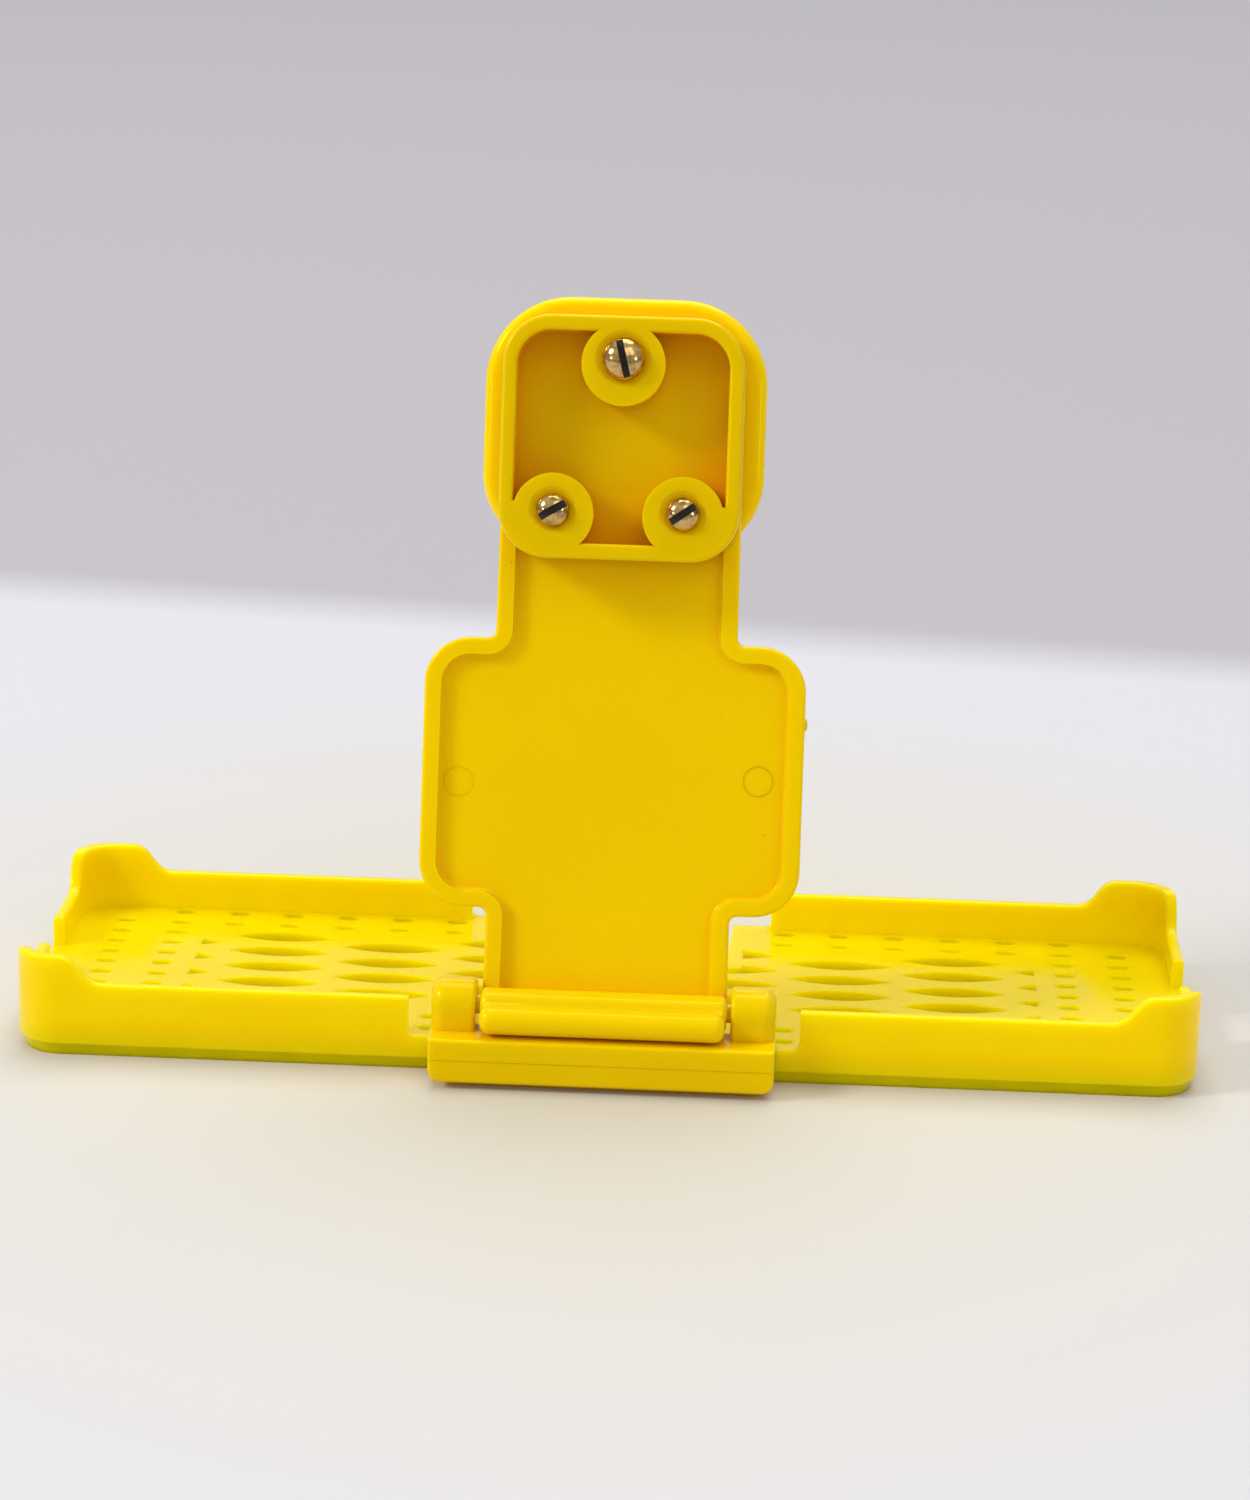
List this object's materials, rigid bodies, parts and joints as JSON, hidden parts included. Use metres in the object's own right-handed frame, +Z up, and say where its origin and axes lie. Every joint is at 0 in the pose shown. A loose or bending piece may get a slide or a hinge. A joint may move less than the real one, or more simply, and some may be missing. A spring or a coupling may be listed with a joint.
{
  "type": "folding tray stand",
  "caption": "Shallow perforated plastic tray with raised corners and a pinned upright arm that folds back into it, with a screwed box head.",
  "frame": {"origin": "on the table, in the middle of the footprint of tray and bracket", "axes": "+Z up, +X along the tray to the viewer's right, +Y towards the rear"},
  "size_m": [0.15, 0.0534, 0.0947],
  "materials": {
    "yellow_plastic": "glossy injection-moulded, bright yellow",
    "brass": "polished, pale",
    "steel": "drawn"
  },
  "bodies": {
    "base": {"tray": "yellow_plastic", "hinge_bracket": "yellow_plastic", "bracket_screw_left": "steel", "bracket_screw_right": "steel", "hinge_pin": "yellow_plastic"},
    "arm": {"arm": "yellow_plastic", "front_housing": "yellow_plastic", "rear_cap": "yellow_plastic", "upper_screw": "brass", "lower_left_screw": "brass", "lower_right_screw": "brass", "upper_nut": "brass", "lower_left_nut": "brass", "lower_right_nut": "brass"}
  },
  "joints": [
    {"name": "arm_fold", "type": "hinge", "parent": "base", "child": "arm", "pos_m": [0, -0.02135, 0.0094], "axis": [-1, 0, 0], "range_deg": [-4, 76]}
  ]
}
